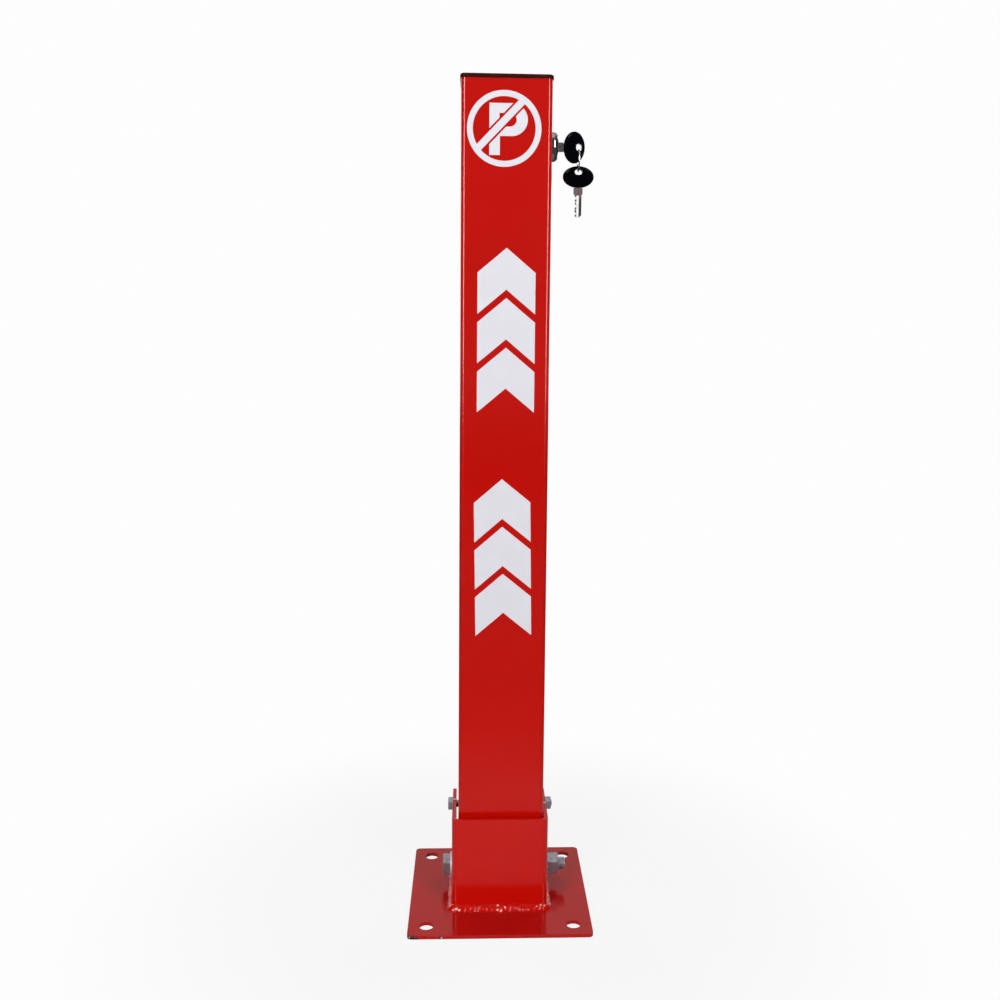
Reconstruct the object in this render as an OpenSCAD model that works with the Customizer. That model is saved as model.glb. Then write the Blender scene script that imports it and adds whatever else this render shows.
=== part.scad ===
/* [Base plate] */
// Plate width, left to right
plate_w = 150; // [120:1:220]
// Plate depth, front to back
plate_d = 150; // [120:1:220]
// Plate thickness
plate_t = 3; // [2:0.5:6]
// Radius of the plate's corners
plate_corner_r = 4; // [1:0.5:12]
// Distance from an anchor hole's centre to the plate's two nearest edges
anchor_inset = 15; // [8:0.5:24]
// Diameter of the anchor holes
anchor_hole_d = 12; // [6:0.5:16]

/* [Pivot bracket] */
// Depth of the bracket's side walls
bracket_d = 70; // [64:1:90]
// Height of the bracket above the plate
bracket_h = 78.5; // [72:0.5:100]
// Sheet thickness of the bracket
bracket_t = 3; // [2:0.5:4]
// Outside radius of the bracket's two bends
bracket_bend_r = 4.5; // [4:0.5:6]
// Radius on the rear top corners of the side walls
bracket_ear_r = 8; // [2:0.5:14]
// Leg of the fillet weld along the bracket's front foot
weld_leg = 5; // [3:0.5:6]
// Leg of the fillet weld along the bracket's side feet
weld_side_leg = 3.6; // [2:0.2:6]

/* [Post] */
// Overall height from the floor to the top of the cap
overall_h = 680; // [520:1:900]
// Width of the tube, left to right
post_w = 71; // [60:1:90]
// Depth of the tube, front to back
post_d = 50; // [44:1:60]
// Wall of the tube
post_wall = 2; // [1.5:0.1:3]
// Outside radius of the tube's corners
post_corner_r = 3.6; // [2:0.1:4]
// Air between the tube and a side wall of the bracket, with the tube in the middle
side_gap = 1.5; // [1.3:0.1:4]
// How far the post sits towards its lock side
post_x = 0.7; // [-0.7:0.1:0.7]
// Air between the tube and the bracket's front wall
front_gap = 5; // [4.5:0.1:8]
// Air between the tube's lower end and the plate
floor_gap = 1.5; // [1:0.1:4]
// Thickness of the end cap's rim
cap_t = 3; // [2:0.1:6]
// How far the cap's rim stands out past the tube
cap_lip = 0.7; // [0.2:0.1:2]
// Depth of the cap's skirt inside the tube
cap_skirt_h = 13; // [8:1:16]

/* [Hinge] */
// Diameter of the hinge bolt
pivot_d = 10; // [8:1:12]
// Height of the hinge axis above the floor
pivot_z = 20.5; // [19:0.5:26]
// Distance from the hinge axis to the back of the tube
pivot_to_back = 13; // [11:0.5:15]
// Length of thread that stands out of the nut
pivot_tip = 6; // [1:0.5:12]

/* [Catch] */
// Diameter of the catch bolt
catch_d = 6; // [5:0.5:8]
// Height of the catch bolt above the hinge bolt
catch_rise = 55.5; // [50:0.5:58]
// Travel of the lock rod
rod_lift = 8; // [7:0.1:9.5]
// Diameter of the lock rod
rod_d = 8; // [6:0.5:10]
// Width of the tongue across the post
tongue_w = 18; // [12:1:24]
// Depth of the tongue, front to back
tongue_d = 12; // [11:0.5:14]
// Wire diameter of the return spring
spring_wire_d = 1.2; // [1:0.1:2]

/* [Lock] */
// Distance from the cap's top to the lock's axis
lock_drop = 50.5; // [44:0.5:70]
// Diameter of the chrome collar
collar_d = 23; // [20:0.5:28]
// Height of the chrome collar
collar_h = 6; // [5:0.5:8]
// Diameter of the barrel that passes through the wall
barrel_d = 18; // [16:0.5:20]
// Diameter of the turning plug
plug_d = 11; // [10:0.5:13]

/* [Keys] */
// Length of a key's bow along the key
bow_l = 17.2; // [16:0.2:22]
// Width of a key's bow
bow_w = 25; // [20:0.2:32]
// Thickness of a key's bow
bow_t = 5.6; // [5:0.2:6.4]
// Outside diameter of the key ring
ring_d = 17.6; // [17:0.2:22]
// Wire diameter of the key ring
ring_wire_d = 1.2; // [0.8:0.1:1.4]

/* [Films] */
// Thickness of the white films
film_t = 0.2; // [0.1:0.05:0.5]
// Width of a chevron
chevron_w = 45.6; // [30:0.2:56]
// Outside diameter of the sign ring
sign_d = 57.6; // [40:0.2:60]

/* [Hidden] */

$fn = 64;

// Small clearances shared by several pieces
eps = 0.01;
run_gap = 0.08;
touch_gap = 0.3;
bolt_gap = 0.25;
catch_gap = 0.2;
stop_gap = 0.6;
cross_gap = 0.5;
barrel_gap = 0.1;
cap_gap = 0.3;
keyway_gap = 0.15;

// Anchor holes, post and bracket in plan
anchor_pitch_x = plate_w - 2 * anchor_inset;
anchor_pitch_y = plate_d - 2 * anchor_inset;
bracket_w = post_w + 2 * (side_gap + bracket_t);
bracket_front = -bracket_d / 2;
post_front = bracket_front + bracket_t + front_gap;
post_back = post_front + post_d;
post_mid_y = post_front + post_d / 2;
post_inner_r = max(post_corner_r - post_wall, 0.5);
post_bottom = plate_t + floor_gap;
post_top = overall_h - cap_t;
bracket_top = plate_t + bracket_h;

// Hinge axis and the heel that swings past the plate
pivot_y = post_back - pivot_to_back;
heel_r = pivot_z - plate_t - cross_gap;
sleeve_r = pivot_d / 2 + 3;
washer_t = pivot_d / 5;
washer_r = pivot_d * 1.05;
head_af = pivot_d * 1.7;
head_h = pivot_d * 0.64;
nut_h = pivot_d;

// Catch bolt and the slot that lets the tube swing past it
catch_y = pivot_y;
catch_z = pivot_z + catch_rise;
catch_af = catch_d * 10 / 6;
catch_head_h = catch_d * 2 / 3;
catch_nut_h = catch_d * 5 / 6;
slot_r = catch_d / 2 + stop_gap;

// Lock axis, cam and rod
lock_y = post_mid_y;
lock_z = overall_h - lock_drop;
wall_x = post_w / 2;
barrel_depth = 22;
barrel_in_x = wall_x - barrel_depth;
collar_edge_r = 4;
plug_recess = 0.6;
plug_face_x = wall_x + collar_h - plug_recess;
lock_nut_h = 5;
lock_nut_af = barrel_d * 4 / 3;
cam_t = 3;
cam_x = barrel_in_x - 0.5 - cam_t;
cam_base_r = 6;
cam_rise = rod_lift / PI;
screw_head_h = 2.5;
screw_d = 5;
tail_side = 7;
tongue_back = catch_y - catch_d / 2 - stop_gap;
rod_y = tongue_back - tongue_d / 2;
lift_t = 3;
lift_plate_z = lock_z + cam_base_r + rod_lift + touch_gap;
rod_nut_h = 6.5;
rod_nut_af = rod_d * 13 / 8;
rod_top = lift_plate_z + lift_t + rod_nut_h + 1.5;

// Tongue, drawn raised; locked, its tip stands rod_lift lower and tongue_hang under the bolt
tongue_hang = 0.5;
tongue_tip = catch_z - catch_d / 2 - tongue_hang + rod_lift;
tongue_h = 42;
tongue_bevel = 9;
socket_h = 18;
rod_bottom = tongue_tip + tongue_h - socket_h;
pin_d = 4;
pin_z = rod_bottom + socket_h / 2;
tongue_guide_z = tongue_tip + 18;
slot_play = 0.35;

// Spring between the collar on the rod and the lower guide
guide_t = 2;
guide_flange_h = 18;
guide_d = 30;
lower_guide_z = 200;
upper_guide_z = lock_z - 70;
collar_t = 4;
spring_len = 40;
spring_collar_z = lower_guide_z - spring_len - collar_t;
spring_r = rod_d / 2 + spring_wire_d / 2 + 1.4;
spring_turns = 7;

// Key outline, with its own origin where the shoulder meets the plug
key_blade_l = 18;
key_blade_w = 5.6;
key_blade_t = 2;
shoulder_l = 5;
shoulder_w = 7.2;
bow_mid = shoulder_l + bow_l / 2;
hole_at = bow_mid + 3.7;
hole_l = 4.5;
hole_w = 6.1;
tang_l = 8;

// Ring through both holes
ring_r = (ring_d - ring_wire_d) / 2;
ring_sag = ring_r - sqrt(ring_r * ring_r - bow_t * bow_t / 4);
hang_gap = 0.15;
hole_end_z = lock_z - (hole_w - hole_l) / 2;
ring_x = plug_face_x + hole_at;
ring_top_z = hole_end_z - hole_l / 2 + hang_gap + ring_wire_d / 2 + ring_sag;
ring_mid_z = ring_top_z - ring_r;
ring_low_z = ring_top_z - 2 * ring_r;
spare_hole_z = ring_low_z + ring_sag + ring_wire_d / 2 + hang_gap - hole_l / 2;

// Films on the front of the post
chevron_rise = chevron_w * 0.42;
chevron_arm = 32.3;
chevron_pitch = 38.85;
upper_chevron_top = overall_h - 131.6;
lower_chevron_top = overall_h - 314.4;
lower_chevron_tilt = 1;
upper_chevron_x = 0.8;
lower_chevron_x = -0.5;
sign_x = -2;
sign_z = overall_h - 41.1;
sign_band = 4.5;
slash_w = 5.4;
slash_angle = 46;
slash_offset = 4.2;

// Places a piece that moves with the post
module in_post() {
    translate([post_x, 0, 0]) children();
}

// A straight round bar along X from x0 to x1
module x_bar(r, x0, x1, y, z) {
    translate([x0, y, z]) rotate([0, 90, 0]) cylinder(r = r, h = x1 - x0);
}

// A straight round bar along Y from y0 to y1
module y_bar(r, y0, y1, x, z) {
    translate([x, y0, z]) rotate([-90, 0, 0]) cylinder(r = r, h = y1 - y0);
}

// An upright block with round vertical edges, centred in plan
module round_block(w, d, h, r) {
    translate([-w / 2 + r, -d / 2, 0]) cube([w - 2 * r, d, h]);
    translate([-w / 2, -d / 2 + r, 0]) cube([w, d - 2 * r, h]);
    for (sx = [-1, 1], sy = [-1, 1])
        translate([sx * (w / 2 - r), sy * (d / 2 - r), 0]) cylinder(r = r, h = h);
}

// A hexagon prism along Z with its far corners turned off at 30 degrees
module hex_prism(af, h) {
    corner_r = af / sqrt(3);
    cut_h = corner_r - af / 2 * 0.95;
    intersection() {
        cylinder(r = corner_r, h = h, $fn = 6);
        union() {
            cylinder(r = corner_r + eps, h = h - cut_h * 0.58);
            translate([0, 0, h - cut_h * 0.58])
                cylinder(r1 = corner_r + eps, r2 = af / 2 * 0.95, h = cut_h * 0.58);
        }
    }
}

// A hexagon nut along Z with both ends chamfered
module hex_nut(af, h, hole_r) {
    difference() {
        intersection() {
            hex_prism(af, h);
            translate([0, 0, h]) mirror([0, 0, 1]) hex_prism(af, h);
        }
        translate([0, 0, -1]) cylinder(r = hole_r, h = h + 2);
    }
}

// A hexagon bolt along +X whose head seats at the origin
module x_bolt(d, af, head, length) {
    chamfer = d * 0.1;
    rotate([0, -90, 0]) hex_prism(af, head);
    translate([-1, 0, 0]) rotate([0, 90, 0]) cylinder(r = d / 2, h = length - chamfer + 1);
    translate([length - chamfer, 0, 0]) rotate([0, 90, 0])
        cylinder(r1 = d / 2, r2 = d / 2 - chamfer, h = chamfer);
}

module base_plate() {
    color("firebrick") difference() {
        round_block(plate_w, plate_d, plate_t, plate_corner_r);
        for (sx = [-1, 1], sy = [-1, 1])
            translate([sx * anchor_pitch_x / 2, sy * anchor_pitch_y / 2, -1])
                cylinder(d = anchor_hole_d, h = plate_t + 2);
    }
}

// The bracket's plan with two bends, open to the rear
module channel(w, d, r, h) {
    translate([-w / 2, bracket_front + r, 0]) cube([w, d - r, h]);
    translate([-w / 2 + r, bracket_front, 0]) cube([w - 2 * r, r + eps, h]);
    for (sx = [-1, 1])
        translate([sx * (w / 2 - r), bracket_front + r, 0]) cylinder(r = r, h = h);
}

module pivot_bracket() {
    inner_r = bracket_bend_r - bracket_t;
    color("firebrick") translate([0, 0, plate_t]) difference() {
        channel(bracket_w, bracket_d, bracket_bend_r, bracket_h);
        translate([0, bracket_t, -1])
            channel(bracket_w - 2 * bracket_t, bracket_d, inner_r, bracket_h + 2);
        x_bar(pivot_d / 2 + bolt_gap, -bracket_w, bracket_w, pivot_y, pivot_z - plate_t);
        x_bar(catch_d / 2 + catch_gap, -bracket_w, bracket_w, catch_y, catch_z - plate_t);
        difference() {
            translate([-bracket_w, bracket_d / 2 - bracket_ear_r, bracket_h - bracket_ear_r])
                cube([2 * bracket_w, bracket_ear_r + 1, bracket_ear_r + 1]);
            x_bar(bracket_ear_r, -bracket_w - 1, bracket_w + 1,
                bracket_d / 2 - bracket_ear_r, bracket_h - bracket_ear_r);
        }
    }
}

// Section of a fillet weld, with its corner at the wall's foot
module weld_section(wall_at, leg) {
    translate([wall_at, 0]) polygon([
        [0, 0], [leg, 0], [leg * 0.92, leg * 0.22],
        [leg * 0.42, leg * 0.62], [leg * 0.2, leg * 0.93], [0, leg]
    ]);
}

module weld_bead() {
    front_run = bracket_w - 2 * bracket_bend_r;
    bend_y = bracket_front + bracket_bend_r;
    color("firebrick") translate([0, 0, plate_t]) {
        for (sx = [-1, 1]) {
            translate([sx * (bracket_w / 2 - bracket_bend_r), bend_y, 0])
                rotate([0, 0, sx > 0 ? -90 : 180]) rotate_extrude(angle = 90)
                    weld_section(bracket_bend_r, weld_leg);
            mirror([sx > 0 ? 0 : 1, 0, 0]) {
                translate([bracket_w / 2, bracket_d / 2, 0]) rotate([90, 0, 0])
                    linear_extrude(height = bracket_d - bracket_bend_r)
                        weld_section(0, weld_side_leg);
            }
        }
        translate([-front_run / 2, bracket_front, 0]) rotate([90, 0, 90])
            linear_extrude(height = front_run) mirror([1, 0]) weld_section(0, weld_leg);
    }
}

module pivot_bolt() {
    length = bracket_w + 2 * washer_t + nut_h + pivot_tip;
    color("silver") translate([-bracket_w / 2 - washer_t, pivot_y, pivot_z])
        x_bolt(pivot_d, head_af, head_h, length);
}

module pivot_washers() {
    color("silver") for (sx = [-1, 1])
        translate([sx * (bracket_w / 2 + washer_t / 2), pivot_y, pivot_z])
            rotate([0, 90, 0]) difference() {
                cylinder(r = washer_r, h = washer_t, center = true);
                cylinder(r = pivot_d / 2 + bolt_gap, h = washer_t + 2, center = true);
            }
}

module pivot_nut() {
    color("silver") translate([bracket_w / 2 + washer_t, pivot_y, pivot_z])
        rotate([0, 90, 0]) hex_nut(head_af, nut_h, pivot_d / 2);
}

// Plastic spacers that fill the gap on each side of the tube
module pivot_spacers() {
    inside = bracket_w / 2 - bracket_t;
    color("ivory") for (sx = [-1, 1]) {
        thick = side_gap - sx * post_x - touch_gap / 2;
        translate([sx * (inside - thick / 2), pivot_y, pivot_z])
            rotate([0, 90, 0]) difference() {
                cylinder(r = sleeve_r + 1, h = thick, center = true);
                cylinder(r = pivot_d / 2 + bolt_gap, h = thick + 2, center = true);
            }
    }
}

module catch_bolt() {
    length = bracket_w + catch_nut_h + 0.8;
    color("silver") translate([-bracket_w / 2, catch_y, catch_z])
        x_bolt(catch_d, catch_af, catch_head_h, length);
}

module catch_nut() {
    color("silver") translate([bracket_w / 2, catch_y, catch_z])
        rotate([0, 90, 0]) hex_nut(catch_af, catch_nut_h, catch_d / 2);
}

// Arc slot about the hinge axis, from the upright stop out through the front
module catch_slot() {
    difference() {
        intersection() {
            x_bar(catch_rise + slot_r, -post_w, post_w, pivot_y, pivot_z);
            translate([-post_w, pivot_y - post_w, pivot_z + 10]) cube([2 * post_w, post_w, 90]);
        }
        x_bar(catch_rise - slot_r, -post_w - 1, post_w + 1, pivot_y, pivot_z);
    }
    x_bar(slot_r, -post_w, post_w, catch_y, catch_z);
}

// The corner of the tube that would strike the plate as the post folds
module heel_cut() {
    difference() {
        translate([-post_w, pivot_y, post_bottom - 1])
            cube([2 * post_w, pivot_to_back + 1, pivot_z - post_bottom + 1]);
        x_bar(heel_r, -post_w - 1, post_w + 1, pivot_y, pivot_z);
    }
}

module post_tube() {
    color("firebrick") in_post() difference() {
        translate([0, post_mid_y, post_bottom])
            round_block(post_w, post_d, post_top - post_bottom, post_corner_r);
        translate([0, post_mid_y, post_bottom - 1])
            round_block(post_w - 2 * post_wall, post_d - 2 * post_wall,
                post_top - post_bottom + 2, post_inner_r);
        x_bar(pivot_d / 2 + cross_gap, -post_w, post_w, pivot_y, pivot_z);
        x_bar(barrel_d / 2 + barrel_gap, 0, post_w, lock_y, lock_z);
        catch_slot();
        heel_cut();
    }
}

module end_cap() {
    rim_w = post_w + 2 * cap_lip;
    rim_d = post_d + 2 * cap_lip;
    skirt_w = post_w - 2 * (post_wall + cap_gap);
    skirt_d = post_d - 2 * (post_wall + cap_gap);
    edge = 0.8;
    corner = post_corner_r + cap_lip;
    color("black") in_post() translate([0, post_mid_y, post_top]) {
        hull() {
            round_block(rim_w, rim_d, cap_t - edge, corner);
            round_block(rim_w - 2 * edge, rim_d - 2 * edge, cap_t, corner - edge);
        }
        translate([0, 0, -cap_skirt_h]) difference() {
            round_block(skirt_w, skirt_d, cap_skirt_h + eps, post_inner_r);
            translate([0, 0, -1]) round_block(skirt_w - 4, skirt_d - 4, cap_skirt_h + 1, 0.8);
        }
        for (sx = [-1, 1], y = [-12, 0, 12])
            translate([sx * skirt_w / 2 - cap_gap, y - 0.6, -cap_skirt_h + 2])
                cube([2 * cap_gap, 1.2, cap_skirt_h - 2]);
    }
}

// Sleeve across the tube that the post turns on
module pivot_sleeve() {
    half = post_w / 2 - post_wall;
    color("silver") in_post() difference() {
        x_bar(sleeve_r, -half, half, pivot_y, pivot_z);
        x_bar(pivot_d / 2 + run_gap, -half - 1, half + 1, pivot_y, pivot_z);
    }
}

// A folded plate across the tube
module guide_plate() {
    w = post_w - 2 * post_wall;
    translate([-w / 2, -guide_d / 2, 0]) cube([w, guide_d, guide_t]);
    for (x = [-w / 2, w / 2 - guide_t])
        translate([x, -guide_d / 2, 0]) cube([guide_t, guide_d, guide_flange_h]);
}

// Guide whose rectangular slot keeps the tongue from turning
module tongue_guide() {
    slot_w = tongue_w + 2 * slot_play;
    slot_d = tongue_d + 2 * slot_play;
    color("gray") in_post() translate([0, rod_y, tongue_guide_z]) difference() {
        guide_plate();
        translate([-slot_w / 2, -slot_d / 2, -1]) cube([slot_w, slot_d, guide_t + 2]);
    }
}

// Guide with a round bore for the rod
module rod_guide(z) {
    color("gray") in_post() translate([0, rod_y, z]) difference() {
        guide_plate();
        translate([0, 0, -1]) cylinder(r = rod_d / 2 + run_gap, h = guide_t + 2);
    }
}

module lower_guide() {
    rod_guide(lower_guide_z);
}

module upper_guide() {
    rod_guide(upper_guide_z);
}

// Round wire swept along a helix, with closed ends
function helix_point(a, r, rise) = [r * cos(a), r * sin(a), rise];

module return_spring() {
    sides = 8;
    steps = 16 * spring_turns;
    wire_r = spring_wire_d / 2;
    low = lower_guide_z - spring_len + wire_r + 0.1;
    high = lower_guide_z - wire_r - 0.1;
    points = [
        for (i = [0 : steps], j = [0 : sides - 1])
            let (a = 360 * spring_turns * i / steps,
                b = 360 * j / sides,
                z = low + (high - low) * i / steps)
            helix_point(a, spring_r + wire_r * cos(b), z + wire_r * sin(b))
    ];
    walls = [
        for (i = [0 : steps - 1], j = [0 : sides - 1])
            let (k = (j + 1) % sides)
            [i * sides + j, i * sides + k, (i + 1) * sides + k, (i + 1) * sides + j]
    ];
    ends = [
        [for (j = [sides - 1 : -1 : 0]) j],
        [for (j = [0 : sides - 1]) steps * sides + j]
    ];
    color("silver") in_post() translate([0, rod_y, 0]) polyhedron(points, concat(walls, ends));
}

// Lock body: a collar with a rounded edge outside the wall and a barrel through it
module lock_body() {
    r = collar_d / 2;
    depth = wall_x - barrel_in_x;
    color("lightgray") in_post() translate([wall_x, lock_y, lock_z]) rotate([0, 90, 0])
        difference() {
            union() {
                rotate_extrude() {
                    square([r - collar_edge_r, collar_h]);
                    square([r, collar_h - collar_edge_r]);
                    intersection() {
                        translate([r - collar_edge_r, collar_h - collar_edge_r])
                            circle(r = collar_edge_r);
                        square([r, collar_h]);
                    }
                }
                translate([0, 0, -depth]) cylinder(d = barrel_d, h = depth + eps);
            }
            translate([0, 0, -depth - 1]) cylinder(r = plug_d / 2 + run_gap, h = depth + 20);
        }
}

module lock_nut() {
    color("silver") in_post() translate([wall_x - post_wall - lock_nut_h, lock_y, lock_z])
        rotate([0, 90, 0]) hex_nut(lock_nut_af, lock_nut_h, barrel_d / 2);
}

// One chevron film, with the tip of its point at the origin
module chevron() {
    half = chevron_w / 2;
    rotate([90, 0, 0]) linear_extrude(height = film_t) polygon([
        [0, 0], [half, -chevron_rise], [half, -chevron_rise - chevron_arm],
        [0, -chevron_arm], [-half, -chevron_rise - chevron_arm], [-half, -chevron_rise]
    ]);
}

module chevron_group(top_z, shift_x, tilt) {
    color("white") in_post() translate([shift_x, post_front, top_z - chevron_pitch * 1.5])
        rotate([0, -tilt, 0]) for (i = [0 : 2])
            translate([0, 0, chevron_pitch * (1.5 - i)]) chevron();
}

module upper_chevrons() {
    chevron_group(upper_chevron_top, upper_chevron_x, 0);
}

module lower_chevrons() {
    chevron_group(lower_chevron_top, lower_chevron_x, lower_chevron_tilt);
}

// Ring with one slash from lower left to upper right
module sign_ring() {
    inner_r = sign_d / 2 - sign_band;
    color("white") in_post() translate([sign_x, post_front, sign_z]) rotate([90, 0, 0])
        linear_extrude(height = film_t) {
            difference() {
                circle(d = sign_d, $fn = 128);
                circle(r = inner_r, $fn = 128);
            }
            intersection() {
                circle(r = inner_r + 1, $fn = 128);
                rotate([0, 0, slash_angle]) translate([0, slash_offset])
                    square([sign_d, slash_w], center = true);
            }
        }
}

// Plug with a keyway from the front and a square tail for the cam
module lock_plug() {
    color("silver") in_post() difference() {
        union() {
            x_bar(plug_d / 2, barrel_in_x, plug_face_x, lock_y, lock_z);
            translate([cam_x, lock_y - tail_side / 2, lock_z - tail_side / 2])
                cube([barrel_in_x - cam_x + eps, tail_side, tail_side]);
        }
        translate([plug_face_x - key_blade_l - 2 * touch_gap, lock_y - key_blade_t / 2 - keyway_gap,
            lock_z - key_blade_w / 2 - keyway_gap])
            cube([key_blade_l + 2, key_blade_t + 2 * keyway_gap, key_blade_w + 2 * keyway_gap]);
        x_bar(screw_d / 2, cam_x - 1, cam_x + 8, lock_y, lock_z);
    }
}

// Points of a cam whose flat follower rises evenly over half a turn
function cam_edge(steps) = [
    for (i = [0 : steps])
        let (a = 180 * i / steps, reach = cam_base_r + rod_lift * i / steps)
        [reach * cos(a) - cam_rise * sin(a), reach * sin(a) + cam_rise * cos(a)]
];

// The cam stands with its high side up, which holds the rod raised
module lock_cam() {
    color("gray") in_post() translate([cam_x, lock_y, lock_z]) rotate([90, 0, 90])
        linear_extrude(height = cam_t) difference() {
            rotate([0, 0, -90]) union() {
                polygon(cam_edge(36));
                circle(r = cam_base_r);
            }
            square([tail_side, tail_side], center = true);
        }
}

module cam_screw() {
    color("silver") in_post() {
        x_bar(screw_d * 0.9, cam_x - screw_head_h, cam_x, lock_y, lock_z);
        x_bar(screw_d / 2, cam_x - eps, cam_x + 7, lock_y, lock_z);
    }
}

// Metal part of a key along +X: cut blade, shoulder and the tang inside the bow
module key_metal() {
    cuts = [1.4, 0.7, 1.7, 1.0, 1.5];
    first = -key_blade_l + 3;
    step = 3;
    color("silver") difference() {
        union() {
            translate([-key_blade_l, -key_blade_t / 2, -key_blade_w / 2])
                cube([key_blade_l + eps, key_blade_t, key_blade_w]);
            translate([0, -key_blade_t / 2, -shoulder_w / 2])
                cube([shoulder_l + eps, key_blade_t, shoulder_w]);
            translate([shoulder_l, -key_blade_t / 2, -key_blade_w / 2])
                cube([tang_l, key_blade_t, key_blade_w]);
        }
        for (i = [0 : len(cuts) - 1])
            translate([first + i * step, 2, key_blade_w / 2 - cuts[i]]) rotate([90, 0, 0])
                linear_extrude(height = 4)
                    polygon([[-0.4, 0], [0.4, 0], [0.4 + cuts[i], cuts[i] + 0.1],
                        [-0.4 - cuts[i], cuts[i] + 0.1]]);
        for (sy = [-1, 1])
            translate([-key_blade_l - 1, sy * key_blade_t / 2 - 0.4, -0.9])
                cube([key_blade_l + 4, 0.8, 1.8]);
        for (sz = [-1, 1])
            translate([-key_blade_l, 0, sz * key_blade_w / 2]) rotate([0, 45, 0])
                cube([2.2, key_blade_t + 1, 2.2], center = true);
    }
}

// Ellipse ring of a bow's crowned section, set in by inset at side offset y
function bow_ring(inset, y, n) = [
    for (i = [0 : n - 1])
        let (a = 360 * i / n)
        [(bow_l / 2 - inset) * cos(a), y, (bow_w / 2 - inset) * sin(a)]
];

// Plastic bow with rounded rim, oval ring hole and a slot for the tang
module key_handle() {
    n = 40;
    levels = [[2.2, -1], [0.9, -0.8], [0.2, -0.45], [0, 0], [0.2, 0.45], [0.9, 0.8], [2.2, 1]];
    rows = len(levels);
    points = [for (s = levels) each bow_ring(s[0], s[1] * bow_t / 2, n)];
    walls = [
        for (i = [0 : rows - 2], j = [0 : n - 1])
            let (k = (j + 1) % n)
            [i * n + j, (i + 1) * n + j, (i + 1) * n + k, i * n + k]
    ];
    ends = [
        [for (j = [0 : n - 1]) j],
        [for (j = [n - 1 : -1 : 0]) (rows - 1) * n + j]
    ];
    color("black") difference() {
        translate([bow_mid, 0, 0]) polyhedron(points, concat(walls, ends));
        for (sz = [-1, 1])
            y_bar(hole_l / 2, -bow_t, bow_t, hole_at, sz * (hole_w - hole_l) / 2);
        translate([hole_at - hole_l / 2, -bow_t, -(hole_w - hole_l) / 2])
            cube([hole_l, 2 * bow_t, hole_w - hole_l]);
        translate([shoulder_l - 1, -key_blade_t / 2, -key_blade_w / 2])
            cube([tang_l + 1, key_blade_t, key_blade_w]);
    }
}

module in_lock() {
    in_post() translate([plug_face_x, lock_y, lock_z]) children();
}

module on_ring() {
    in_post() translate([ring_x, lock_y, spare_hole_z - hole_at]) rotate([0, -90, 0])
        children();
}

module key_blade() {
    in_lock() key_metal();
}

module key_bow() {
    in_lock() key_handle();
}

module spare_key_blade() {
    on_ring() key_metal();
}

module spare_key_bow() {
    on_ring() key_handle();
}

module key_ring() {
    color("silver") in_post() translate([ring_x, lock_y, ring_mid_z]) rotate([0, 90, 0])
        rotate_extrude() translate([ring_r, 0]) circle(d = ring_wire_d, $fn = 32);
}

// Rod pinned into the tongue at its lower end
module lock_rod() {
    color("silver") in_post() difference() {
        translate([0, rod_y, rod_bottom]) cylinder(d = rod_d, h = rod_top - rod_bottom);
        x_bar(pin_d / 2, -rod_d, rod_d, rod_y, pin_z);
    }
}

// Plate that rides on the cam and stops short of the lock's barrel
module lift_plate() {
    reach = barrel_in_x - touch_gap;
    color("gray") in_post() difference() {
        translate([-9, rod_y - 15, lift_plate_z]) cube([reach + 9, 28, lift_t]);
        translate([0, rod_y, lift_plate_z - 1]) cylinder(d = rod_d, h = lift_t + 2);
    }
}

module adjuster_nuts() {
    color("silver") in_post() for (z = [lift_plate_z - rod_nut_h, lift_plate_z + lift_t])
        translate([0, rod_y, z]) rotate([0, 0, 30]) hex_nut(rod_nut_af, rod_nut_h, rod_d / 2);
}

module spring_collar() {
    color("silver") in_post() translate([0, rod_y, spring_collar_z]) difference() {
        cylinder(r = spring_r + spring_wire_d, h = collar_t);
        translate([0, 0, -1]) cylinder(d = rod_d, h = collar_t + 2);
    }
}

// Tongue with a sloping front foot that rides up over the catch bolt as the post is raised
module lock_tongue() {
    front = tongue_back - tongue_d;
    top = tongue_tip + tongue_h;
    color("gray") in_post() difference() {
        translate([-tongue_w / 2, 0, 0]) rotate([90, 0, 90])
            linear_extrude(height = tongue_w) polygon([
                [front, tongue_tip + tongue_bevel * 1.4], [tongue_back - 2.5, tongue_tip],
                [tongue_back - 0.5, tongue_tip], [tongue_back, tongue_tip + 0.5],
                [tongue_back, top - 1], [tongue_back - 1, top], [front + 1, top], [front, top - 1]
            ]);
        translate([0, rod_y, rod_bottom]) cylinder(d = rod_d, h = socket_h + 1);
        x_bar(pin_d / 2, -tongue_w, tongue_w, rod_y, pin_z);
    }
}

module roll_pin() {
    half = tongue_w / 2;
    color("silver") in_post() difference() {
        x_bar(pin_d / 2, -half, half, rod_y, pin_z);
        x_bar(pin_d / 4, -half - 1, half + 1, rod_y, pin_z);
    }
}

base_plate();
pivot_bracket();
weld_bead();
pivot_bolt();
pivot_washers();
pivot_nut();
pivot_spacers();
catch_bolt();
catch_nut();
post_tube();
end_cap();
pivot_sleeve();
tongue_guide();
lower_guide();
upper_guide();
return_spring();
lock_body();
lock_nut();
upper_chevrons();
lower_chevrons();
sign_ring();
lock_plug();
lock_cam();
cam_screw();
key_blade();
key_bow();
key_ring();
spare_key_blade();
spare_key_bow();
lock_rod();
lift_plate();
adjuster_nuts();
spring_collar();
lock_tongue();
roll_pin();
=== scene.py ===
import math
import bpy
import bmesh
from mathutils import Vector, Matrix

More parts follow.
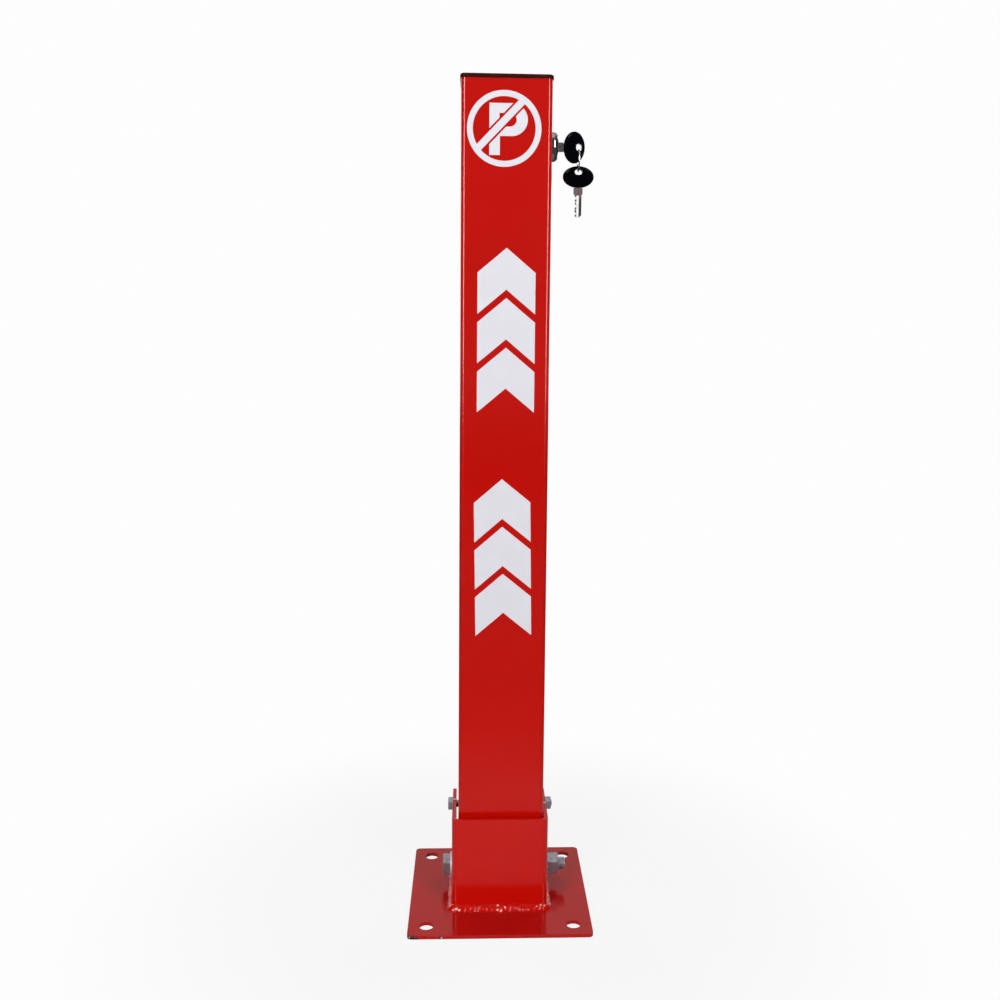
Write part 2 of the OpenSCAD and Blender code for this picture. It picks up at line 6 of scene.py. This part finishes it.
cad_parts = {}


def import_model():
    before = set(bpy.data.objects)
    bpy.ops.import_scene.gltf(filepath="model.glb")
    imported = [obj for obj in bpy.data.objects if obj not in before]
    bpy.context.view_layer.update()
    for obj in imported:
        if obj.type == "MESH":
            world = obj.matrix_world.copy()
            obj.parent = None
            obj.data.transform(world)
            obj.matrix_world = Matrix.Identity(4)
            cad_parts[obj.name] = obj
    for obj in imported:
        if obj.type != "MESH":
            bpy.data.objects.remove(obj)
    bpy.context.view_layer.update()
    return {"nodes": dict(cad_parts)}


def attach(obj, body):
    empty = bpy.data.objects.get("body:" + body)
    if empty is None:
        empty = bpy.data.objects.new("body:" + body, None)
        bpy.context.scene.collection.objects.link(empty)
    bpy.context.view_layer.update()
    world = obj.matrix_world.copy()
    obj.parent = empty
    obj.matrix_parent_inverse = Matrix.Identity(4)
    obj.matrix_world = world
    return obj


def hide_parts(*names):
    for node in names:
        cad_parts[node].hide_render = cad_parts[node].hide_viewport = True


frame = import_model()
MM = 0.001


# ---------- measures of the bollard, in mm ----------

PLATE_TOP = 3.0
BRACKET_HALF = 40.0              # from its middle to the outside of a side wall
BRACKET_FRONT = -35.0
BRACKET_BACK = 35.0
BRACKET_BEND = 4.5               # outer radius of its two front corners
HINGE = (10, 20.5)               # the hinge bolt's axis, y and z
POST_FRONT = -27.0
SIGN = (-1.3, 638.9)             # the middle of the sign, x and z
# where a pale reflection is painted on the spare key's blade
GROOVE_PAINTED_REFLECTION = ((57.6, 59.6), (540, 592))     # on the spare key's blade: x from and to, z from and to
# where a dark shade is painted on the spare key's blade, x and z as above
RIB_PAINTED_SHADE = ((59.9, 63), (540, 590))

# spots in the paint: (x, y, z, radius), and the colour that shows: uncoated metal or dirt on the
# plate's rim, pale spots on the bracket's ears, and painted glints on the weld
# pale spots painted on the bracket's ears' top edges, beside the catch bolts' heads
EAR_PALE_SPOTS = (((-38.6, 6.4, 81.5, 1.4), (39.4, -1.6, 81.5, 1.4)), (0.75, 0.68, 0.66))
RIM_CHIPS = (((-74.0, -75, 1, 2.4), (-70.5, -75, 0.6, 2.2), (-67.5, -75, 0.4, 1.6),
              (-75, -72, 1, 1.8), (-48, -75, 0.4, 1.7)), (0.02, 0.018, 0.018))
RIM_SPECKS = (((-73.2, -75, 1.6, 0.8), (-47.2, -75, 1.2, 0.6)), (0.6, 0.58, 0.58))
# painted glints: pale pinkish spots on the weld's lumps, where light would catch them
WELD_PAINTED_GLINTS = (((-36, -38.6, 5.6, 1.3), (-33.5, -39, 4.6, 0.9), (-38.6, -38, 4.2, 0.9),
                (-1.5, -36.4, 6.9, 0.8), (-1.5, -39.2, 4.4, 0.9), (1.2, -39.4, 3.7, 1.0),
                (4.6, -37.4, 6, 0.7), (31, -37, 6.2, 0.6), (34.6, -36.4, 6.9, 0.8),
                (37.6, -36.4, 6.6, 0.8), (43.2, -30, 4.4, 0.9)), (0.8, 0.45, 0.38))


# ---------- selecting and finishing pieces ----------

def deselect():
    for o in bpy.context.selected_objects:
        o.select_set(False)


def only(o):
    """Selects one object alone and makes it the active one."""
    deselect()
    o.select_set(True)
    bpy.context.view_layer.objects.active = o


def take(name):
    """The active object becomes a finished piece at the origin."""
    o = bpy.context.active_object
    o.name = name
    o.data.name = name
    only(o)
    bpy.ops.object.transform_apply(location=True, rotation=True, scale=True)
    o.select_set(False)
    return o


def face_outwards(o):
    bm = bmesh.new()
    bm.from_mesh(o.data)
    bmesh.ops.recalc_face_normals(bm, faces=bm.faces)
    bm.to_mesh(o.data)
    bm.free()


def shade(o, degrees):
    """Smooth shading, with an edge kept sharp where it turns by more than this."""
    only(o)
    bpy.ops.object.shade_smooth_by_angle(angle=math.radians(degrees))
    o.select_set(False)


# ---------- materials ----------

def calc(nt, operation, *values, clamp=False):
    """The output of a math node that is fed with numbers or with other nodes' outputs."""
    n = nt.nodes.new("ShaderNodeMath")
    n.operation = operation
    n.use_clamp = clamp
    for socket, value in zip(n.inputs, values):
        if isinstance(value, (int, float)):
            socket.default_value = value
        else:
            nt.links.new(value, socket)
    return n.outputs[0]


class Mat:
    """A principled material built from procedural nodes in Object coordinates."""

    def __init__(self, name, color, rough, metallic=0.0):
        self.mat = bpy.data.materials.new(name)
        self.mat.use_nodes = True
        self.nt = self.mat.node_tree
        self.bsdf = self.nt.nodes["Principled BSDF"]
        self.put("Base Color", (*color, 1))
        self.put("Roughness", rough)
        self.put("Metallic", metallic)
        self.coords = self.nt.nodes.new("ShaderNodeTexCoord").outputs["Object"]
        self.normal = None

    def put(self, socket, value):
        self.bsdf.inputs[socket].default_value = value

    def link(self, a, b):
        self.nt.links.new(a, b)

    def noise(self, scale, detail=3, rough=0.55, stretch=(1, 1, 1)):
        m = self.nt.nodes.new("ShaderNodeMapping")
        m.inputs["Scale"].default_value = stretch
        self.link(self.coords, m.inputs["Vector"])
        n = self.nt.nodes.new("ShaderNodeTexNoise")
        n.inputs["Scale"].default_value = scale
        n.inputs["Detail"].default_value = detail
        n.inputs["Roughness"].default_value = rough
        self.link(m.outputs["Vector"], n.inputs["Vector"])
        return n.outputs["Fac"]

    def ramp(self, fac, low, high):
        """Black up to low, white from high on."""
        r = self.nt.nodes.new("ShaderNodeValToRGB")
        for element, place, grey in zip(r.color_ramp.elements, (low, high), (0, 1)):
            element.position = place
            element.color = (grey, grey, grey, 1)
        self.link(fac, r.inputs["Fac"])
        return r.outputs["Color"]

    def mix(self, fac, a, b):
        """Colour a where fac is 0, colour b where it is 1; either may be a node's output."""
        n = self.nt.nodes.new("ShaderNodeMix")
        n.data_type = "RGBA"
        for name, kind, value in (("Factor", "VALUE", fac), ("A", "RGBA", a), ("B", "RGBA", b)):
            socket = [i for i in n.inputs if i.name == name and i.type == kind][0]
            if isinstance(value, tuple):
                socket.default_value = (*value, 1)
            else:
                self.link(value, socket)
        return [o for o in n.outputs if o.type == "RGBA"][0]

    def color(self, output):
        self.link(output, self.bsdf.inputs["Base Color"])

    def rough(self, fac, low, high):
        n = self.nt.nodes.new("ShaderNodeMapRange")
        n.inputs["To Min"].default_value = low
        n.inputs["To Max"].default_value = high
        self.link(fac, n.inputs["Value"])
        self.link(n.outputs["Result"], self.bsdf.inputs["Roughness"])

    def bump(self, fac, strength, distance):
        b = self.nt.nodes.new("ShaderNodeBump")
        b.inputs["Strength"].default_value = strength
        b.inputs["Distance"].default_value = distance
        self.link(fac, b.inputs["Height"])
        if self.normal is not None:
            self.link(self.normal, b.inputs["Normal"])
        self.normal = b.outputs["Normal"]
        self.link(self.normal, self.bsdf.inputs["Normal"])

    def between(self, value, low, high):
        """1 where a coordinate lies between low and high, in mm, and 0 outside."""
        off = calc(self.nt, "SUBTRACT", value, (low + high) / 2 * MM)
        away = calc(self.nt, "ABSOLUTE", off)
        inside = calc(self.nt, "MULTIPLY_ADD", away, -1 / MM, (high - low) / 2 + 0.5)
        return self.ramp(inside, 0.4, 0.6)

    def spots(self, places):
        """1 inside a ragged spot round each (x, y, z, radius), in mm, and 0 outside."""
        ragged = self.nt.nodes.new("ShaderNodeTexNoise")
        ragged.inputs["Scale"].default_value = 900
        ragged.inputs["Detail"].default_value = 3
        self.link(self.coords, ragged.inputs["Vector"])
        nearest = None
        for x, y, z, radius in places:
            away = self.nt.nodes.new("ShaderNodeVectorMath")
            away.operation = "DISTANCE"
            away.inputs[1].default_value = (x * MM, y * MM, z * MM)
            self.link(self.coords, away.inputs[0])
            near = calc(self.nt, "MULTIPLY_ADD", away.outputs["Value"],
                        -0.5 / (radius * MM), 0.62)
            nearest = near if nearest is None else calc(self.nt, "MAXIMUM", nearest, near)
        return self.ramp(calc(self.nt, "ADD", nearest, ragged.outputs["Fac"]), 0.58, 0.64)

    def worn(self, color, patches):
        """The metal's colour, darker in fine patches."""
        return self.mix(self.ramp(patches, 0.38, 0.72), color, tuple(c * 0.62 for c in color))


def red_paint(name, color, dark, spots_and_glints=(), gloss=0.32):
    """Glossy powder coat, a little uneven, with spots of other colours in it: flaws that show
    what is under it, pale spots, and painted glints.
    """
    m = Mat(name, color, 0.15)
    m.put("Specular IOR Level", gloss)
    coat = m.mix(m.ramp(m.noise(9, 4), 0.35, 0.7), color, dark)
    # flaws in the coat, pale spots, and painted glints, each with the colour that shows
    for places, spot_colour in spots_and_glints:
        coat = m.mix(m.spots(places), coat, spot_colour)
    m.color(coat)
    m.rough(m.noise(40), 0.12, 0.2)
    m.bump(m.noise(420, 2), 0.1, 0.00008)
    m.bump(m.noise(22, 2), 0.06, 0.0006)
    return m.mat


def metal(name, color, rough, uneven=0.1, scale=300, brush=(1, 1, 1), metallic=1.0):
    m = Mat(name, color, rough, metallic)
    m.color(m.worn(color, m.noise(scale, 4, 0.6, brush)))
    m.rough(m.noise(scale * 1.7, 3, 0.5, brush), max(rough - uneven, 0.05), rough + uneven)
    m.bump(m.noise(scale * 3, 3, 0.5, brush), 0.08, 0.00005)
    return m.mat


def spare_metal_painted_light(name, color, reflection_colour, dark):
    """The key's metal, with a pale painted reflection and a dark painted shade along its blade.
    """
    m = Mat(name, color, 0.3, 1.0)
    axes = m.nt.nodes.new("ShaderNodeSeparateXYZ")
    m.link(m.coords, axes.inputs[0])
    groove_reflection, rib_shade = (calc(m.nt, "MULTIPLY", m.between(axes.outputs["X"], *across),
                        m.between(axes.outputs["Z"], *along)) for across, along in (GROOVE_PAINTED_REFLECTION, RIB_PAINTED_SHADE))
    blade = m.worn(color, m.noise(500, 4))
    # the blade's tone, with a painted reflection, and painted shade in the dark colour
    m.color(m.mix(rib_shade, m.mix(groove_reflection, blade, reflection_colour), dark))
    m.rough(m.noise(850), 0.22, 0.38)
    m.bump(m.noise(1500), 0.08, 0.00005)
    return m.mat


def plastic(name, color, rough, grain=0.1, scale=700, gloss=0.5, lift=1.5):
    m = Mat(name, color, rough)
    m.put("Specular IOR Level", gloss)
    m.color(m.mix(m.ramp(m.noise(60, 4), 0.45, 0.75), color,
                  tuple(min(c * lift, 1) for c in color)))
    m.rough(m.noise(90), max(rough - 0.06, 0.04), rough + 0.08)
    m.bump(m.noise(scale, 2), grain, 0.00006)
    return m.mat


MATS = {
    "red": red_paint("red_coat", (0.58, 0.004, 0.0006), (0.54, 0.003, 0.0005)),
    # the weld's coat, with painted glints on its lumps
    "weld": red_paint("weld_coat_painted_glints", (0.56, 0.004, 0.0006), (0.5, 0.003, 0.0005),
                      spots_and_glints=(WELD_PAINTED_GLINTS,), gloss=0.12),
    "bracket": red_paint("bracket_coat", (0.58, 0.004, 0.0006), (0.54, 0.003, 0.0005),
                         spots_and_glints=(EAR_PALE_SPOTS,)),
    # the plate's red: the post's coat made darker, as painted shade on its upward face
    "plate": red_paint("plate_coat_painted_shade", (0.46, 0.006, 0.004), (0.42, 0.005, 0.004),
                       spots_and_glints=(RIM_CHIPS, RIM_SPECKS)),
    "zinc": metal("zinc", (0.33, 0.33, 0.37), 0.32, metallic=0.6),
    # the washers' zinc, made pale so that their rims show a painted highlight
    "washer": metal("washer_zinc_painted_highlight", (0.86, 0.85, 0.88), 0.4, metallic=0.25),
    "steel": metal("plain_steel", (0.40, 0.40, 0.41), 0.38, brush=(1, 1, 0.1)),
    "spring": metal("spring_steel", (0.3, 0.3, 0.31), 0.35),
    "ring": metal("ring_steel", (0.6, 0.6, 0.62), 0.2, uneven=0.05, scale=500),
    "chrome": metal("lock_chrome", (0.26, 0.24, 0.25), 0.14, uneven=0.04),
    "key": metal("key_metal", (0.13, 0.115, 0.115), 0.3, uneven=0.08, scale=500),
    # the spare key's metal, its painted reflection colour, and its painted shade colour
    "spare": spare_metal_painted_light("spare_metal_painted_light", (0.21, 0.15, 0.15), (0.97, 0.96, 0.96),
                         (0.06, 0.05, 0.05)),
    "nylon": plastic("nylon", (0.66, 0.64, 0.58), 0.5, lift=1.1),
    "cap": plastic("cap_plastic", (0.036, 0.004, 0.004), 0.45, grain=0.25, gloss=0.02),
    "bow": plastic("bow_plastic", (0.0006, 0.0006, 0.002), 0.16, grain=0.04, scale=500,
                   gloss=0.05),
    "film": plastic("white_film", (0.80, 0.79, 0.85), 0.4, grain=0.05, scale=900, gloss=0.3,
                    lift=1.03),
}

WEARERS = {
    "red": ["post_tube"],
    "weld": ["weld_bead"],
    "bracket": ["pivot_bracket"],
    "plate": ["base_plate"],
    "zinc": ["pivot_bolt", "pivot_nut", "catch_bolt", "catch_nut",
             "lock_nut", "cam_screw", "adjuster_nuts"],
    "washer": ["pivot_washers"],
    "steel": ["pivot_sleeve", "tongue_guide", "lower_guide", "upper_guide", "lock_cam",
              "lock_rod", "lift_plate", "spring_collar", "lock_tongue", "roll_pin"],
    "spring": ["return_spring"],
    "ring": ["key_ring"],
    "chrome": ["lock_body", "lock_plug"],
    "key": ["key_blade"],
    "spare": ["spare_key_blade"],
    "nylon": ["pivot_spacers"],
    "cap": ["end_cap"],
    "bow": ["key_bow", "spare_key_bow"],
    "film": ["upper_chevrons", "lower_chevrons", "sign_ring"],
}


def wear(o, finish):
    o.data.materials.clear()
    o.data.materials.append(MATS[finish])


for finish, nodes in WEARERS.items():
    for node in nodes:
        wear(frame["nodes"][node], finish)


# ---------- floor, light, camera; lengths in m here, except where mm is said ----------

WHITE = (0.985, 0.985, 0.985, 1)
STAGE_SIZE = 24
BACKDROP_Y = 6
FLOOR_FADE = (0.15, 0.4)         # where the floor starts to turn plain white, and where it ends
FLOOR_WHITE_SHARE = 0.88         # its share of plain white at the object's foot
FLOOR_GREY = (0.62, 0.2)         # what it reflects at the foot, and from 0.5 m out

PICTURE = 1000                   # the photo's width and height, in pixels
FOCAL = 1105.6                   # of the fitted camera, in pixels
AXIS_AT = (521, 468.8)           # where the camera's axis meets the picture
CAMERA_AT = (-23.2, -907.1, 487.1)      # mm
YAW, PITCH, ROLL = 0.0428, 0.1276, 0.0108


def far_from_foot(nt, near, wide, low, high=1.0):
    """A smooth step from low to high over the distance from the object's foot."""
    geometry = nt.nodes.new("ShaderNodeNewGeometry")
    distance = nt.nodes.new("ShaderNodeVectorMath")
    distance.operation = "LENGTH"
    nt.links.new(geometry.outputs["Position"], distance.inputs[0])
    r = nt.nodes.new("ShaderNodeMapRange")
    r.interpolation_type = "SMOOTHSTEP"
    for socket, value in (("From Min", near), ("From Max", wide),
                          ("To Min", low), ("To Max", high)):
        r.inputs[socket].default_value = value
    nt.links.new(distance.outputs["Value"], r.inputs["Value"])
    return r.outputs["Result"]


def pale(name, shadowed):
    """A pale diffuse surface that camera, glossy and transmission rays see as plain white. A
    shadowed one is plain white only far from the object, and keeps its shadow near it."""
    mat = bpy.data.materials.new(name)
    mat.use_nodes = True
    nt = mat.node_tree
    b = nt.nodes["Principled BSDF"]
    b.inputs["Base Color"].default_value = (0.8, 0.8, 0.8, 1)
    b.inputs["Roughness"].default_value = 0.95
    b.inputs["Specular IOR Level"].default_value = 0.0
    rays = nt.nodes.new("ShaderNodeLightPath").outputs

    def both(operation, x, y):
        return calc(nt, operation, x, y, clamp=True)

    seen = rays["Is Camera Ray"]
    mirrored = both("MULTIPLY", 0.5, both("ADD", rays["Is Glossy Ray"],
                                          rays["Is Transmission Ray"]))
    if shadowed:
        nt.links.new(far_from_foot(nt, 0.2, 0.5, *FLOOR_GREY), b.inputs["Base Color"])
        seen = both("MULTIPLY", seen, far_from_foot(nt, *FLOOR_FADE, FLOOR_WHITE_SHARE))
        mirrored = both("MULTIPLY", mirrored, far_from_foot(nt, 4.0, 8.0, 0.0))
    glow = nt.nodes.new("ShaderNodeEmission")
    glow.inputs["Color"].default_value = WHITE
    mix = nt.nodes.new("ShaderNodeMixShader")
    nt.links.new(both("ADD", seen, mirrored), mix.inputs[0])
    nt.links.new(b.outputs[0], mix.inputs[1])
    nt.links.new(glow.outputs[0], mix.inputs[2])
    nt.links.new(mix.outputs[0], nt.nodes["Material Output"].inputs["Surface"])
    return mat


def stage_plane(name, location, rotation, material):
    deselect()
    bpy.ops.mesh.primitive_plane_add(size=STAGE_SIZE, location=location, rotation=rotation)
    o = take(name)
    o.data.materials.append(material)


def world():
    """White where the camera looks at it, and a dim even light for everything else."""
    w = bpy.data.worlds.new("studio")
    bpy.context.scene.world = w
    w.use_nodes = True
    nt = w.node_tree
    dim = nt.nodes["Background"]
    dim.inputs["Color"].default_value = (1, 1, 1, 1)
    dim.inputs["Strength"].default_value = 0.16
    white = nt.nodes.new("ShaderNodeBackground")
    white.inputs["Color"].default_value = WHITE
    mix = nt.nodes.new("ShaderNodeMixShader")
    nt.links.new(nt.nodes.new("ShaderNodeLightPath").outputs["Is Camera Ray"], mix.inputs[0])
    nt.links.new(dim.outputs[0], mix.inputs[1])
    nt.links.new(white.outputs[0], mix.inputs[2])
    nt.links.new(mix.outputs[0], nt.nodes["World Output"].inputs["Surface"])


def lamp(name, place, target, size, power):
    deselect()
    bpy.ops.object.light_add(type="AREA", location=place)
    o = bpy.context.active_object
    o.name = name
    o.data.shape = "RECTANGLE"
    o.data.size, o.data.size_y = size
    o.data.energy = power
    o.rotation_euler = (Vector(target) - Vector(place)).to_track_quat("-Z", "Y").to_euler()
    o.select_set(False)
    return o


def strip(name, place, target, size, power):
    """A narrow lamp that only shows as a reflection, as the post's corners' pale lines."""
    lamp(name, place, target, size, power).visible_diffuse = False


def camera():
    """Stands where the photo was taken from, by a fit of the bollard's edges."""
    forward = Vector((math.sin(YAW) * math.cos(PITCH), math.cos(YAW) * math.cos(PITCH),
                      -math.sin(PITCH)))
    level = Vector((math.cos(YAW), -math.sin(YAW), 0))
    upright = level.cross(forward)
    right = level * math.cos(ROLL) + upright * math.sin(ROLL)
    up = upright * math.cos(ROLL) - level * math.sin(ROLL)
    place = Matrix((right, up, -forward)).transposed().to_4x4()
    place.translation = Vector(CAMERA_AT) * MM
    data = bpy.data.cameras.new("camera")
    data.sensor_width = 36
    data.lens = FOCAL * data.sensor_width / PICTURE
    data.shift_x = (PICTURE / 2 - AXIS_AT[0]) / PICTURE
    data.shift_y = (AXIS_AT[1] - PICTURE / 2) / PICTURE
    data.clip_start = 0.01
    o = bpy.data.objects.new("camera", data)
    bpy.context.collection.objects.link(o)
    o.matrix_world = place
    bpy.context.scene.camera = o


stage_plane("floor", (0, 0, 0), (0, 0, 0), pale("floor_white", True))
stage_plane("backdrop", (0, BACKDROP_Y, 6), (math.pi / 2, 0, 0), pale("backdrop_white", False))
world()
camera()
lamp("left_box", (-0.95, -1.55, 1.15), (0, 0, 0.4), (0.55, 1.7), 22)
lamp("right_box", (0.95, -1.55, 1.15), (0, 0, 0.4), (0.45, 1.7), 17)
strip("left_strip", (-0.93, -1.5, 1.15), (0, 0, 0.4), (0.32, 1.9), 34)
strip("right_strip", (0.93, -1.5, 1.15), (0, 0, 0.4), (0.32, 1.9), 31)
lamp("top_box", (0, 0.1, 2.3), (0, 0, 0), (1.6, 1.6), 10)
lamp("back_left", (-1.4, 1.9, 0.9), (0, 0, 0.35), (0.6, 1.4), 12)
lamp("back_right", (1.4, 1.9, 0.9), (0, 0, 0.35), (0.6, 1.4), 12)
bpy.context.scene.view_settings.view_transform = "Standard"


# ---------- the white letter of the sign ----------

LETTER_DEPTH = (POST_FRONT - 0.2, POST_FRONT - 0.003)
CUT_DEPTH = (LETTER_DEPTH[0] - 1, LETTER_DEPTH[1] + 1)
SLASH_SLOPE = 46                 # degrees
SLASH_CLEAR = 4.2                # half the height of the strip that the slash clears
SLASH_RISE = 4.2                 # how far that strip's middle stands above the sign's


def block(name, x0, x1, depth, z0, z1):
    y0, y1 = depth
    deselect()
    bpy.ops.mesh.primitive_cube_add(size=1, location=((x0 + x1) * MM / 2, (y0 + y1) * MM / 2,
                                                      (z0 + z1) * MM / 2))
    bpy.context.active_object.scale = ((x1 - x0) * MM, (y1 - y0) * MM, (z1 - z0) * MM)
    return take(name)


def disc(name, x, z, radius, depth):
    y0, y1 = depth
    deselect()
    bpy.ops.mesh.primitive_cylinder_add(vertices=96, radius=radius * MM, depth=(y1 - y0) * MM,
                                        location=(x * MM, (y0 + y1) * MM / 2, z * MM),
                                        rotation=(math.pi / 2, 0, 0))
    return take(name)


def boolean(o, other, operation):
    m = o.modifiers.new("boolean", "BOOLEAN")
    m.operation = operation
    m.solver = "EXACT"
    m.object = other
    only(o)
    bpy.ops.object.modifier_apply(modifier="boolean")
    o.select_set(False)
    bpy.data.objects.remove(other)


def letter():
    """The sign's letter: a stem and a bowl, with a clear strip on each side of the slash."""
    cx, cz = SIGN
    o = block("sign_letter", cx - 11.5, cx - 3.3, LETTER_DEPTH, cz - 20.0, cz + 19.1)
    boolean(o, block("bowl_arms", cx - 4, cx + 5.85, LETTER_DEPTH, cz - 5.6, cz + 19.1), "UNION")
    boolean(o, disc("bowl_end", cx + 5.85, cz + 6.75, 12.35, LETTER_DEPTH), "UNION")
    boolean(o, block("eye", cx - 3.7, cx + 4.4, CUT_DEPTH, cz + 1.5, cz + 11.7), "DIFFERENCE")
    boolean(o, disc("eye_end", cx + 4.4, cz + 6.6, 5.1, CUT_DEPTH), "DIFFERENCE")
    band = block("slash_band", -40, 40, CUT_DEPTH, -SLASH_CLEAR, SLASH_CLEAR)
    band.data.transform(Matrix.Translation(Vector((0, 0, SLASH_RISE * MM))))
    band.data.transform(Matrix.Rotation(math.radians(-SLASH_SLOPE), 4, "Y"))
    band.data.transform(Matrix.Translation(Vector((cx * MM, 0, cz * MM))))
    boolean(o, band, "DIFFERENCE")
    face_outwards(o)
    wear(o, "film")
    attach(o, "post")


# ---------- the weld and the thread ----------

LEG = (3.4, 4.5)                 # the bead's leg along the side walls, and along the front
SIDE_STEPS, BEND_STEPS, FRONT_STEPS = 164, 18, 178
ROUNDNESS = 1.45                 # the exponent of its section: 2 is a circle, 1 a flat bevel
THREAD_START = 52.1
THREAD_PITCH = 1.5
TURN_STEPS = 48
THREAD_STEPS = 168               # three turns and a half
RIDGE_FOOT = 4.85
RIDGE_HALF = 0.62
RIDGE_TOP = (5.0, 5.25)          # its radius where it runs out, and where it is full


def swept(name, rings):
    """A solid through rings of points in mm, with its two ends closed."""
    bm = bmesh.new()
    loops = [[bm.verts.new(Vector(p) * MM) for p in ring] for ring in rings]
    n = len(loops[0])
    for a, b in zip(loops, loops[1:]):
        for i in range(n):
            j = (i + 1) % n
            bm.faces.new((a[i], a[j], b[j], b[i]))
    bm.faces.new(loops[0])
    bm.faces.new(loops[-1][::-1])
    bmesh.ops.recalc_face_normals(bm, faces=bm.faces)
    mesh = bpy.data.meshes.new(name)
    bm.to_mesh(mesh)
    bm.free()
    o = bpy.data.objects.new(name, mesh)
    bpy.context.collection.objects.link(o)
    return o


def foot_path():
    """Points round the bracket's foot, from one open end to the other: x, y, and the way out."""
    path = []
    side = BRACKET_BACK - BRACKET_FRONT - BRACKET_BEND
    for i in range(SIDE_STEPS):
        path.append((BRACKET_HALF, BRACKET_BACK - side * i / SIDE_STEPS, 1, 0))
    for i in range(BEND_STEPS):
        a = math.radians(90 * i / BEND_STEPS)
        path.append((BRACKET_HALF - BRACKET_BEND + BRACKET_BEND * math.cos(a),
                     BRACKET_FRONT + BRACKET_BEND - BRACKET_BEND * math.sin(a),
                     math.cos(a), -math.sin(a)))
    for i in range(FRONT_STEPS // 2 + 1):
        path.append(((BRACKET_HALF - BRACKET_BEND) * (1 - 2 * i / FRONT_STEPS),
                     BRACKET_FRONT, 0, -1))
    return path + [(-x, y, -nx, ny) for x, y, nx, ny in path[-2::-1]]


def unevenness(run, t):
    """Share by which the bead swells, at a length run along it and an angle t over it."""
    s = run + 0.9 * math.sin(2 * t)
    return (0.022 * math.sin(2 * math.pi * s / 2.9 + 0.9 * math.sin(s / 5.1))
            + 0.05 * math.sin(s / 1.9 + 1.3 * math.sin(s / 7.3))
            + 0.05 * math.sin(s / 4.7 + 2) * math.cos(3 * t))


def weld():
    """The bead round the bracket's foot, with the ripples and lumps that a hand weld leaves."""
    path = foot_path()
    rings = []
    run = 0.0
    for k, (x, y, nx, ny) in enumerate(path):
        if k:
            run += math.hypot(x - path[k - 1][0], y - path[k - 1][1])
        leg = LEG[0] + (LEG[1] - LEG[0]) * max(-ny, 0) ** 2
        ring = [(x - nx * 0.05, y - ny * 0.05, PLATE_TOP - 0.05)]
        for j in range(9):
            t = math.radians(90 * j / 8)
            belly = (math.cos(t) ** ROUNDNESS + math.sin(t) ** ROUNDNESS
                     + 1e-9) ** (-1 / ROUNDNESS)
            r = leg * belly * (1 + unevenness(run, t))
            ring.append((x + nx * r * math.cos(t), y + ny * r * math.cos(t),
                         PLATE_TOP + r * math.sin(t)))
        rings.append(ring)
    o = swept("weld_ripples", rings)
    shade(o, 50)
    wear(o, "weld")
    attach(o, "base")
    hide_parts("weld_bead")


def thread():
    """The ridge of the hinge bolt's thread where it stands out of the nut."""
    rings = []
    for i in range(THREAD_STEPS + 1):
        a = 2 * math.pi * i / TURN_STEPS
        x = THREAD_START + THREAD_PITCH * i / TURN_STEPS
        full = min(1, i / 12, (THREAD_STEPS - i) / 12 + 0.02)
        top = RIDGE_TOP[0] + (RIDGE_TOP[1] - RIDGE_TOP[0]) * full
        rings.append([(x + dx, HINGE[0] + r * math.cos(a), HINGE[1] + r * math.sin(a))
                      for dx, r in ((-RIDGE_HALF, RIDGE_FOOT), (0, top),
                                    (RIDGE_HALF, RIDGE_FOOT))])
    o = swept("pivot_thread", rings)
    shade(o, 25)
    wear(o, "zinc")
    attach(o, "base")


letter()
weld()
thread()
